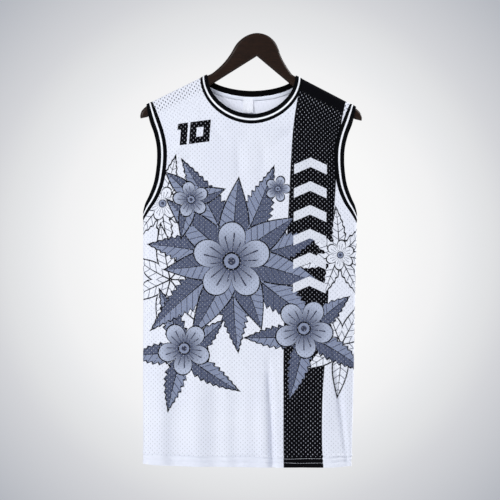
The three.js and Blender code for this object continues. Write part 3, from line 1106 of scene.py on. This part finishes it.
def build_wall(name: str, stations: list[Station], loop: bool, finishes: Sequence[Material]) -> Piece:
    """Closes stations into one wall with a UV map.

    Args:
        name: The piece's name.
        stations: In order along the wall.
        loop: Whether the last one joins the first.
        finishes: The outer face's material, and the inner one's if it differs.

    Returns:
        The new object.
    """
    across = len(stations[0].outer)
    ring = across + len(stations[0].inner)
    points = [p for s in stations for p in (*s.outer, *reversed(s.inner))]
    flats = [f for s in stations for f in s.flat]
    faces: list[tuple[int, int, int, int]] = []
    kinds: list[int] = []
    spans = len(stations) if loop else len(stations) - 1
    for s in range(spans):
        here, there = s * ring, (s + 1) % len(stations) * ring
        for k in range(ring):
            n = (k + 1) % ring
            faces.append((here + k, there + k, there + n, here + n))
            kinds.append(1 if k >= across else 0)
    if not loop:
        end = (len(stations) - 1) * ring
        for k in range(across - 1):
            faces.append((k, k + 1, ring - 2 - k, ring - 1 - k))
            faces.append((end + k, end + ring - 1 - k, end + ring - 2 - k, end + k + 1))
            kinds += [0, 0]
    mesh = bpy.data.meshes.new(name)
    mesh.from_pydata(points, [], faces)
    for finish in finishes:
        mesh.materials.append(finish)
    layer = mesh.uv_layers.new(name=UV_NAME)
    for polygon in mesh.polygons:
        polygon.material_index = min(kinds[polygon.index], len(finishes) - 1)
        for corner in polygon.loop_indices:
            layer.data[corner].uv = flats[mesh.loops[corner].vertex_index]
    made = put(name, mesh)
    face_outwards(made)
    bpy.ops.object.shade_smooth_by_angle(angle=math.radians(50))
    return made


@dataclass(frozen=True)
class Hem:
    """The turned hem's two rows of stitches and how they pucker the cloth, in millimetres.

    The rows' heights are above the hem's edge, and proud is how far the doubled cloth stands out.
    """

    rows: Point = (10.4, 18.6)
    proud: float = 0.25
    row_width: float = 1.9
    ridge_above: float = 3.2
    slipped: float = 1.6
    slips: tuple[tuple[float, float, float], ...] = ((4.0, 12.0, 1), (-78.0, -66.0, -1), (-150.0, -138.0, 1))
    slant: float = 0.6
    middle: float = 10.0
    half: float = 15.0

    def wander(self, x: float, row: int) -> float:
        """Returns how far a row strays upwards at x."""
        slip = sum(sign * smooth(start, end, x) for start, end, sign in self.slips)
        return 0.5 * math.sin(x / 23 + row) + 0.3 * math.sin(x / 9.1 + 2 * row) - self.slipped * slip

    def pull(self, x: float, above: float) -> float:
        """Returns how far the cloth is drawn in, at x and a height above the hem's edge."""
        pull = 0.0
        for number, row in enumerate(self.rows):
            away = (above - row - self.wander(x, number)) / self.row_width
            pull += math.exp(-away * away)
        # The turned edge shows as a puffed ridge over the upper row
        over = (above - self.rows[-1] - self.ridge_above - self.wander(x, 1)) / self.row_width
        pull -= (1.5 + 0.5 * math.sin(x / 19.0 + 2.0)) * math.exp(-over * over)
        slanting = x + self.slant * above
        ripple = 0.55 * math.sin(slanting / 5.3) * math.sin(slanting / 14.0 + 1.3)
        ripple += 1.0 * math.sin(x / 21.0 + 0.8) * math.sin(x / 37.0)
        near = math.exp(-(((above - self.middle) / self.half) ** 2))
        return pull + ripple * near


HEM = Hem()


@dataclass
class Panel:
    """The front or the back: a thin shell of mesh cloth, finer than its solid, with the same cut."""

    side: Side
    neck: Neckline
    drape: Drape
    armhole: Armhole
    shoulder_steps: int = 22
    neck_fine: int = 6
    neck_steps: int = 40
    armhole_fine: int = 6
    armhole_steps: int = 7
    side_rows: int = 120
    hem_rows: int = 26
    hem_zone: float = 27.0
    hem_turn: float = 20.0
    wall: float = 0.8
    hem_wall: float = 1.5
    seam_gap: float = 0.3
    turn_ease: Point = (-1.5, 0.5)
    reach: float = 8.0
    settle: float = 1.0

    def _edge(self) -> list[Point]:
        """Lists the outer edge, from the shoulder to the hem, as x and girth."""
        drape = self.drape
        edge = [seam for seam, _ in self.armhole.edges(drape, self.armhole_fine, self.armhole_steps)]
        start = self.armhole.rows[-1].seam_z
        fine = drape.hem(1) + self.hem_zone
        heights = [lerp(start, fine, n / self.side_rows) for n in range(1, self.side_rows + 1)]
        heights += [lerp(fine, drape.hem(1), n / self.hem_rows) for n in range(1, self.hem_rows + 1)]
        for z in heights:
            half = drape.section(z).half
            edge.append((half, drape.girth(half, z)))
        return edge

    def _top(self) -> list[Point]:
        """Lists half of the top edge, from the armhole to the middle of the neckline."""
        turns = self.neck.turns(self.drape.radius, self.neck_fine, self.neck_steps)
        edge = [
            (lerp(self.armhole.top_seam, self.neck.seam_half, n / self.shoulder_steps), 0.0)
            for n in range(self.shoulder_steps)
        ]
        return edge + [self.neck.point(self.drape, turn, 0.0) for turn in turns]

    def build(self, name: str, finishes: Sequence[Material]) -> Piece:
        """Stretches the panel between its edges and returns it."""
        drape = self.drape
        half = self._top()
        top = [(-x, g) for x, g in half] + half[-2::-1]
        edge = self._edge()
        first, last = edge[0], edge[-1]
        columns = len(top) - 1
        stations = []
        for side_x, side_girth in edge:
            down = side_girth / last[1]
            # A higher power spreads the columns sooner below the corners of the neck, where they crowd
            left = (1 - down) ** self.settle
            bulge = side_x - lerp(last[0], first[0], left)
            station = Station([], [], [])
            for n, start in enumerate(top):
                across = math.sin(math.pi * (n / columns - 0.5))
                hem_x = across * last[0]
                hem_girth = drape.girth(hem_x, drape.hem(across))
                push = math.copysign(abs(across) ** self.reach, across)
                x = lerp(hem_x, start[0], left) + bulge * push
                girth = hem_girth * down + start[1] * left
                turn = hem_girth - self.hem_turn
                turned = smooth(turn + self.turn_ease[0], turn + self.turn_ease[1], girth)
                wall = lerp(self.wall, self.hem_wall, turned)
                pull = HEM.pull(x, hem_girth - girth)
                proud = HEM.proud * turned
                station.outer.append(drape.point(self.side, x, girth, pull - proud, self.seam_gap / 2))
                station.inner.append(drape.point(self.side, x, girth, wall + pull, self.seam_gap / 2))
                station.flat.append(drape.flat(x, girth))
            station.flat += reversed(station.flat)
            stations.append(station)
        return build_wall(name, stations, False, finishes)


@dataclass
class Binding:
    """A rib binding: a band folded over its free edge, with a soft swell and a rounded edge."""

    drape: Drape
    width: float = 17.3
    thickness: float = 1.6
    proud: float = 0.2
    swell: float = 0.35
    seam_gap: float = 0.3
    allowance: float = 6.0
    turned_both: bool = True
    cells: int = 12

    def station(self, side: Side, seam: Point, free: Point, along: float) -> Station:
        """Builds one station from the seam to the free edge.

        Args:
            side: Front or back.
            seam: The seam's point, as x and girth.
            free: The free edge's point.
            along: Length along the binding, in metres.
        """
        long = math.dist(seam, free)
        made = Station([], [], [])
        for n in range(self.cells + 1):
            part = math.sin(math.pi / 2 * n / self.cells)
            share = lerp(self.seam_gap / long, 1.0, part)
            edge = 1.0 - smooth(0.9, 1.0, share)
            root = smooth(0.0, 0.12, share)
            x, girth = between(seam, free, share)
            bulge = self.swell * (1 - (2 * share - 1) ** 2) + 0.15 * root
            middle = self.thickness / 2 - self.proud
            half = self.thickness / 2 * (0.25 + 0.75 * math.sqrt(max(edge, 0.0))) * lerp(0.75, 1.0, root)
            made.outer.append(self.drape.point(side, x, girth, middle - half - bulge))
            made.inner.append(self.drape.point(side, x, girth, middle + half))
            made.flat.append((along, share * self.width * MM))
        # The seam allowance turns in behind the panel, where it shows through the eyelets
        flap = []
        reach = self.allowance if side is Side.FRONT or self.turned_both else self.seam_gap + 0.5
        for away, inset in ((self.seam_gap, 1.05), (reach, 1.15), (reach, 1.6)):
            x, girth = between(seam, free, -away / long)
            flap.append(self.drape.point(side, x, girth, inset, 0.15))
        made.inner = [*flap, *made.inner]
        made.flat += [(along, 0.0)] * len(made.inner)
        return made

    def ring(self, name: str, places: list[tuple[Side, Point, Point]], finishes: Sequence[Material]) -> Piece:
        """Builds a closed binding from its stations' places."""
        along = 0.0
        stations: list[Station] = []
        last: Vector | None = None
        for side, seam, free in places:
            x, girth = between(seam, free, 0.5)
            here = self.drape.point(side, x, girth, 0.0)
            if last is not None:
                along += (here - last).length
            last = here
            stations.append(self.station(side, seam, free, along))
        return build_wall(name, stations, True, finishes)


def flip(point: Point, sign: float) -> Point:
    """Moves a point to the side that sign gives."""
    return sign * point[0], point[1]


@dataclass
class Bindings:
    """The neck binding and the two armhole bindings."""

    drape: Drape
    necks: dict[Side, Neckline]
    armhole: Armhole
    fine: int = 7
    neck_steps: int = 44
    armhole_steps: int = 8

    def neck(self, name: str, finishes: Sequence[Material]) -> Piece:
        """Builds the neck binding."""

        def quarter(side: Side, sign: float) -> list[tuple[Side, Point, Point]]:
            """Lists the places from a shoulder to the middle."""
            neck = self.necks[side]
            turns = neck.turns(self.drape.radius, self.fine, self.neck_steps)
            return [
                (side, flip(neck.point(self.drape, t, 0), sign), flip(neck.point(self.drape, t, 1), sign))
                for t in turns
            ]

        places = quarter(Side.FRONT, -1) + quarter(Side.FRONT, 1)[-2::-1]
        places += quarter(Side.BACK, 1)[1:] + quarter(Side.BACK, -1)[-2:0:-1]
        return Binding(self.drape, turned_both=False).ring(name, places, finishes)

    def arm(self, name: str, sign: float, finishes: Sequence[Material]) -> Piece:
        """Builds one armhole binding."""
        edges = self.armhole.edges(self.drape, self.fine, self.armhole_steps)
        half = [(flip(seam, sign), flip(free, sign)) for seam, free in edges]
        places = [(Side.FRONT, seam, free) for seam, free in half]
        places += [(Side.BACK, seam, free) for seam, free in half[-2:0:-1]]
        # On the stripe's side the turned-in allowance is drawn wider: a dark sheet behind the eyelets, painted
        # shade for the shadowed inside there
        allowance = 11.0 if sign > 0 else 6.0
        return Binding(self.drape, width=19.0, allowance=allowance).ring(name, places, finishes)


@dataclass
class Sewing:
    """Rows of stitches: each one a short spindle of thread that dips into the cloth at both ends."""

    drape: Drape
    thread: float = 0.38
    sides: int = 5
    stitch: float = 3.0
    gap: float = 0.16
    spindle: tuple[Point, ...] = ((0.22, 0.9), (0.5, 1.0), (0.78, 0.9))
    samples: int = 400
    reach: float = 0.985
    sunk: float = 0.1

    def row(self, places: list[Vector]) -> list[tuple[Vector, Vector]]:
        """Lists the two ends of each stitch along a row of points that lie close together."""
        ends: list[tuple[Vector, Vector]] = []
        step, gap = self.stitch * MM, self.gap * self.stitch * MM
        travelled, start = 0.0, places[0]
        for a, b in zip(places, places[1:]):
            length = (b - a).length
            while travelled + length >= step:
                t = (step - travelled) / length
                stop = a.lerp(b, t)
                direction = (stop - start).normalized()
                ends.append((start + direction * gap / 2, stop - direction * gap / 2))
                a, start, travelled = stop, stop, 0.0
                length = (b - a).length
            travelled += length
        return ends

    def build(self, name: str, stitches: list[tuple[Vector, Vector]], finish: Material) -> Piece:
        """Makes one mesh of all the stitches."""
        points: list[Vector] = []
        faces: list[tuple[int, ...]] = []
        for start, end in stitches:
            first = len(points)
            axis = (end - start).normalized()
            out = axis.orthogonal().normalized()
            other = axis.cross(out)
            points.append(start)
            for share, size in self.spindle:
                centre = start.lerp(end, share)
                for n in range(self.sides):
                    turn = 2 * math.pi * n / self.sides
                    spread = out * math.cos(turn) + other * math.sin(turn)
                    points.append(centre + spread * self.thread * MM * size)
            points.append(end)
            for n in range(self.sides):
                m = (n + 1) % self.sides
                faces.append((first, first + 1 + m, first + 1 + n))
                for level in range(2):
                    a, b = first + 1 + level * self.sides, first + 1 + (level + 1) * self.sides
                    faces.append((a + n, a + m, b + m, b + n))
                top = first + 1 + 2 * self.sides
                faces.append((top + n, top + m, first + 1 + 3 * self.sides))
        mesh = bpy.data.meshes.new(name)
        mesh.from_pydata(points, [], faces)
        mesh.materials.append(finish)
        made = put(name, mesh)
        face_outwards(made)
        bpy.ops.object.shade_smooth()
        return made

    def hem(self, side: Side) -> list[tuple[Vector, Vector]]:
        """Lists both rows of the hem's stitches, which wander a little."""
        made = []
        for number, above in enumerate(HEM.rows):
            places = []
            for n in range(self.samples + 1):
                across = -self.reach + 2 * self.reach * n / self.samples
                x = across * self.drape.section(self.drape.hem_z).half
                wander = HEM.wander(x, number)
                z = self.drape.hem(across) + above + wander
                inset = HEM.pull(x, above + wander) - HEM.proud - self.sunk
                places.append(self.drape.point(side, x, self.drape.girth(x, z), inset, 0.15))
            made += self.row(places)
        return made


@dataclass
class NeckTrim:
    """The tape over the back neck seam and the blank label that hangs from it, both inside the back."""

    drape: Drape
    neck: Neckline
    tape_width: float = 7.0
    tape_wall: float = 0.8
    tape_end: float = 80.0
    tape_cells: tuple[int, int] = (96, 6)
    inset: float = 1.7
    label_x: float = -6.2
    label_width: float = 19.0
    label_top: float = -123.5
    label_height: float = 27.5
    label_wall: float = 0.5
    label_inset: float = 2.8
    label_cells: tuple[int, int] = (18, 12)

    def tape(self, name: str, finish: Material) -> Piece:
        """Builds the tape, swelling a little between its two edges."""
        widest = math.acos((self.tape_end / self.neck.seam_half) ** (self.neck.power / 2))
        stations = []
        long, wide = self.tape_cells
        for n in range(long + 1):
            turn = lerp(widest, math.pi - widest, n / long)
            x, girth = self.neck.point(self.drape, min(turn, math.pi - turn), 0.0)
            x = x if turn < math.pi / 2 else -x
            station = Station([], [], [])
            for k in range(wide + 1):
                share = k / wide
                depth = self.inset + self.tape_wall * 0.6 + 0.3 * math.sin(math.pi * share)
                g = girth + 1 - self.tape_width * share
                station.outer.append(self.drape.point(Side.BACK, x, g, self.inset))
                station.inner.append(self.drape.point(Side.BACK, x, g, depth))
                station.flat += [(x * MM, g * MM)] * 2
            stations.append(station)
        return build_wall(name, stations, False, [finish])

    def label(self, name: str, finish: Material) -> Piece:
        """Builds the label: stitched along its top, and lifting a little off the back below."""
        stations = []
        long, wide = self.label_cells
        for n in range(long + 1):
            down = n / long
            z = self.label_top - self.label_height * down
            station = Station([], [], [])
            for k in range(wide + 1):
                share = k / wide - 0.5
                x = self.label_x + self.label_width * share
                lift = 1.6 * smooth(0.15, 1.0, down) * (0.7 + 0.6 * share)
                lift += 0.35 * math.sin(2 * math.pi * share) * down
                girth, depth = self.drape.girth(x, z), self.label_inset + lift
                station.outer.append(self.drape.point(Side.BACK, x, girth, depth))
                station.inner.append(self.drape.point(Side.BACK, x, girth, depth + self.label_wall))
                station.flat += [(x * MM, z * MM)] * 2
            stations.append(station)
        return build_wall(name, stations, False, [finish])


@dataclass
class Hanger:
    """The flat wooden hanger: one outline with fully rounded edges, smoother than its solid."""

    drape: Drape
    thickness: float = 12.0
    edge: float = 5.9
    under_cloth: float = 2.0
    arm_height: float = 21.0
    arm_shoulder: float = 197.3
    tip: tuple[Point, ...] = ((207.5, -149.5), (210.6, -159.0), (209.9, -164.8))
    tip_height: float = 22.5
    tip_steps: int = 14
    crown_steps: int = 90
    crown: tuple[Point, ...] = (
        (-80, -75.6), (-62.3, -59.2), (-49, -41.9), (-35.7, -19.8), (-19, -5.9), (0, 0),
        (18.4, -3), (32.2, -12.2), (40.8, -24.1), (47.8, -42.6), (56.5, -59.4), (68, -76.5),
    )
    crown_left: float = -89.0
    crown_right: float = 74.0
    vee_left: float = -82.0
    vee_right: float = 70.0
    vee: Point = (2.0, -44.1)

    def _top(self, x: float) -> float:
        """Returns the height of the arms' top edge."""
        return self.drape.ridge(x - self.drape.middle) - self.under_cloth * self.drape.rise

    def _outline(self) -> list[Point]:
        """Lists the outline's points, anticlockwise from the wearer's right tip along the underside."""
        middle = self.drape.middle
        left, right = middle - self.arm_shoulder, middle + self.arm_shoulder

        def tip(sign: float) -> list[Point]:
            """Lists the rounded end of an arm, from its top edge down to its lower corner."""
            shoulder = middle + sign * self.arm_shoulder
            bend = [(shoulder, self._top(shoulder)), *((middle + sign * x, z) for x, z in self.tip)]
            return [spline(bend, n / self.tip_steps) for n in range(self.tip_steps + 1)]

        crown = [(self.crown_left, self._top(self.crown_left)), *self.crown]
        crown.append((self.crown_right, self._top(self.crown_right)))
        over = [spline(crown, n / self.crown_steps) for n in range(self.crown_steps + 1)]
        under = [
            (right, self._top(right) - self.tip_height),
            (self.vee_right, self._top(self.vee_right) - self.arm_height),
            self.vee,
            (self.vee_left, self._top(self.vee_left) - self.arm_height),
            (left, self._top(left) - self.tip_height),
        ]
        return tip(-1)[::-1] + over + tip(1) + under

    def build(self, name: str, finish: Material) -> Piece:
        """Fills the outline, gives it its thickness, rounds its edges and hangs it at the garment's tilt."""
        curve = bpy.data.curves.new(name, "CURVE")
        curve.dimensions = "2D"
        curve.fill_mode = "BOTH"
        line = curve.splines.new("POLY")
        outline = self._outline()
        line.points.add(len(outline) - 1)
        for point, (x, z) in zip(line.points, outline):
            point.co = (x * MM, z * MM, 0, 1)
        line.use_cyclic_u = True
        curve.extrude = (self.thickness / 2 - self.edge) * MM
        curve.bevel_depth = self.edge * MM
        curve.bevel_resolution = 5
        curve.offset = -self.edge * MM
        select_only(put(name, curve))
        bpy.ops.object.convert(target="MESH")
        made = bpy.context.active_object
        made.rotation_euler = (math.pi / 2, self.drape.tilt, 0)
        bpy.ops.object.transform_apply(location=True, rotation=True, scale=True)
        face_outwards(made, merged=0.02 * MM)
        bpy.ops.object.shade_smooth_by_angle(angle=math.radians(40))
        made.data.materials.clear()
        made.data.materials.append(finish)
        return made


@dataclass
class Studio:
    """The camera, at the photograph's straight-on view, a pale floor far below, and soft lights."""

    pixel: float = 1.9 * MM
    frame: int = 500
    crown_pixel: Point = (256.0, 33.0)
    distance: float = 6.0
    sensor: float = 36.0
    floor_z: float = -1.25
    # Name, place and width in metres, and power in watts
    soft_lights: tuple[tuple[str, tuple[float, float, float], float, float], ...] = (
        ("key", (-2.7, -2.7, 1.0), 1.2, 88.0),
        ("fill", (2.6, -3.4, 0.1), 2.4, 8.0),
        ("rim", (1.9, -0.05, 1.2), 0.8, 34.0),
        ("back", (2.5, 2.5, 0.9), 1.1, 68.0),
    )
    target: tuple[float, float, float] = (0, 0, -0.45)
    collar_power: float = 36.0
    collar_place: tuple[float, float, float] = (-0.010, -1.02, 0.468)
    collar_beam: float = 8.4
    collar_flat: float = 0.34
    # The share of the sky's fade outwards, and its colour there
    sky: tuple[tuple[float, str], ...] = (
        (0.0, "FBFBFB"),
        (0.37, "F8F8F8"),
        (0.5, "F1F1F2"),
        (0.57, "E8E9EB"),
        (0.64, "E0E1E3"),
        (0.71, "D4D5D9"),
        (0.92, "B7BAC1"),
        (1.0, "ADB0B8"),
    )
    sky_reach: float = 0.12

    def camera(self) -> None:
        """Adds the camera."""
        data = bpy.data.cameras.new("camera")
        made = put("camera", data)
        middle = self.frame / 2
        x = (middle - self.crown_pixel[0]) * self.pixel
        z = (self.crown_pixel[1] - middle) * self.pixel
        made.location = (x, -self.distance, z)
        made.rotation_euler = (math.pi / 2, 0, 0)
        data.sensor_width = self.sensor
        data.lens = self.sensor * self.distance / (self.frame * self.pixel)
        data.clip_end = 100
        bpy.context.scene.camera = made

    def floor(self) -> None:
        """Adds the floor."""
        bpy.ops.object.select_all(action="DESELECT")
        bpy.ops.mesh.primitive_plane_add(size=7, location=(0, 0, self.floor_z))
        made = bpy.context.active_object
        made.name = "floor"
        finish, tree, shader = new_material("Pale floor")
        fill(tree, shader, {"Base Color": linear("E9EAEC"), "Roughness": 0.9})
        made.data.materials.append(finish)

    def lights(self) -> None:
        """Adds the lights."""
        target = Vector(self.target)
        for name, place, size, power in self.soft_lights:
            data = bpy.data.lights.new(name, "AREA")
            data.size = size
            data.energy = power
            made = put(name, data)
            made.location = place
            made.rotation_euler = (target - Vector(place)).to_track_quat("-Z", "Y").to_euler()
        self._collar_light()

    def _collar_light(self) -> None:
        """Adds a narrow oval spotlight, which lights the inside of the back through the collar."""
        data = bpy.data.lights.new("collar", "SPOT")
        data.spot_size = math.radians(self.collar_beam)
        data.spot_blend = 0.75
        data.shadow_soft_size = 0.012
        data.energy = self.collar_power
        made = put("collar", data)
        made.location = self.collar_place
        made.rotation_euler = (math.radians(60), 0, 0)
        made.scale = (1.0, self.collar_flat, 1.0)

    def surroundings(self) -> None:
        """Adds a bright pool of light straight behind the jersey, fading to blue grey all round."""
        world = bpy.data.worlds.new("surroundings")
        bpy.context.scene.world = world
        world.use_nodes = True
        tree = world.node_tree
        tree.nodes.clear()
        way = add(tree, "ShaderNodeTexCoord").outputs["Generated"]
        split = add(tree, SPLIT, [way])
        ahead = add(tree, MATH, [split.outputs["Y"], 0.001], "MAXIMUM")
        aside = add(tree, MATH, [split.outputs["X"], ahead], "DIVIDE")
        above = add(tree, MATH, [split.outputs["Z"], ahead], "DIVIDE")
        both = add(tree, "ShaderNodeCombineXYZ", {"X": aside, "Y": above})
        away = add(tree, VECTOR, [both], "LENGTH").outputs["Value"]
        share = add(tree, MATH, [away, self.sky_reach], "DIVIDE")
        fade = add(tree, "ShaderNodeValToRGB", {"Fac": share})
        fade.color_ramp.interpolation = "LINEAR"
        ramp = fade.color_ramp.elements
        ramp[0].color, ramp[1].color = linear(self.sky[0][1]), linear(self.sky[-1][1])
        for place, code in self.sky[1:-1]:
            ramp.new(place).color = linear(code)
        sky = add(tree, "ShaderNodeBackground", {"Color": fade})
        add(tree, "ShaderNodeOutputWorld", {"Surface": sky})
        bpy.context.scene.view_settings.view_transform = "Standard"


@dataclass
class Jersey:
    """The whole garment on its hanger."""

    drape: Drape = field(default_factory=Drape)
    armhole: Armhole = field(default_factory=Armhole)
    necks: dict[Side, Neckline] = field(
        default_factory=lambda: {Side.FRONT: Neckline(), Side.BACK: Neckline(seam_drop=40.4, free_drop=29.5)}
    )

    def build(self) -> None:
        """Builds and dresses every piece, hangs each from the body and hides the solids that they replace."""
        cloth = MeshCloth()
        painter = MotifPainter(Ink())
        printed = cloth.finish("Printed eyelet mesh", lambda tree: FrontPrint().colour(tree, painter))
        # The inside face is a darker copy of the white cloth, painted shade for the dim inside of the jersey;
        # its eyelets are drawn more covered, as painted light
        inside = MeshCloth(Holes(veil=0.94)).finish("Inside of the eyelet mesh in painted shade", "D6D9E4")
        plain = cloth.finish("White eyelet mesh", "E2E6F1")
        neck_rib = StripedRib().finish("Striped rib knit at the neck", 6.0, 9.4)
        arm_rib = StripedRib().finish("Striped rib knit at the armholes", 6.9, 10.3)
        # The rib's inside is drawn in a darker black than its outside: painted shade where the collar
        # spotlight reaches it
        shaded_rib_inside = StripedRib(black="020203").finish("Inside of the rib knit in painted shade", 30.0, 31.0)
        tape_finish = WovenTape().finish("Woven neck tape")
        label_finish = WovenTape(colour="E9EAEF", pitch=0.9 * MM).finish("Satin label")
        thread = Thread().finish("Sewing thread")
        wood = StainedWood().finish("Stained beech")

        front = Panel(Side.FRONT, self.necks[Side.FRONT], self.drape, self.armhole).build(
            "front_panel_cloth", [printed, inside]
        )
        back = Panel(
            Side.BACK,
            self.necks[Side.BACK],
            self.drape,
            self.armhole,
            shoulder_steps=16,
            settle=4.0,
            neck_steps=30,
            armhole_steps=5,
            side_rows=90,
        ).build("back_panel_cloth", [plain, inside])
        bindings = Bindings(self.drape, self.necks, self.armhole)
        neck = bindings.neck("neck_rib", [neck_rib, shaded_rib_inside])
        right = bindings.arm("right_armhole_rib", -1, [arm_rib, shaded_rib_inside])
        left = bindings.arm("left_armhole_rib", 1, [arm_rib, shaded_rib_inside])
        trim = NeckTrim(self.drape, self.necks[Side.BACK])
        tape = trim.tape("neck_tape_cloth", tape_finish)
        label = trim.label("neck_label_cloth", label_finish)
        hanger = Hanger(self.drape).build("hanger_wood", wood)
        sewing = Sewing(self.drape)
        front_threads = sewing.hem(Side.FRONT)
        back_threads = sewing.hem(Side.BACK)
        front_sewing = sewing.build("front_stitches", front_threads, thread)
        back_sewing = sewing.build("back_stitches", back_threads, thread)

        pieces = (
            (front, "front_panel", "white_mesh"),
            (back, "back_panel", "white_mesh"),
            (neck, "neck_binding", "striped_rib"),
            (right, "right_armhole_binding", "striped_rib"),
            (left, "left_armhole_binding", "striped_rib"),
            (tape, "neck_tape", "white_tape"),
            (label, "neck_label", "white_tape"),
            (hanger, "hanger", "dark_wood"),
            (front_sewing, None, "white_tape"),
            (back_sewing, None, "white_tape"),
        )
        for piece, node, slot in pieces:
            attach(piece, BODY)
            if node:
                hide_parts(node)
            LOG.info("%s: %d faces", piece.name, len(piece.data.polygons))


def main() -> None:
    """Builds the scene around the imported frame."""
    logging.basicConfig(level=logging.INFO, format="%(name)s: %(message)s")
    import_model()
    studio = Studio()
    studio.camera()
    studio.floor()
    studio.lights()
    studio.surroundings()
    Jersey().build()
    bpy.context.view_layer.update()


if __name__ == "__main__":
    main()
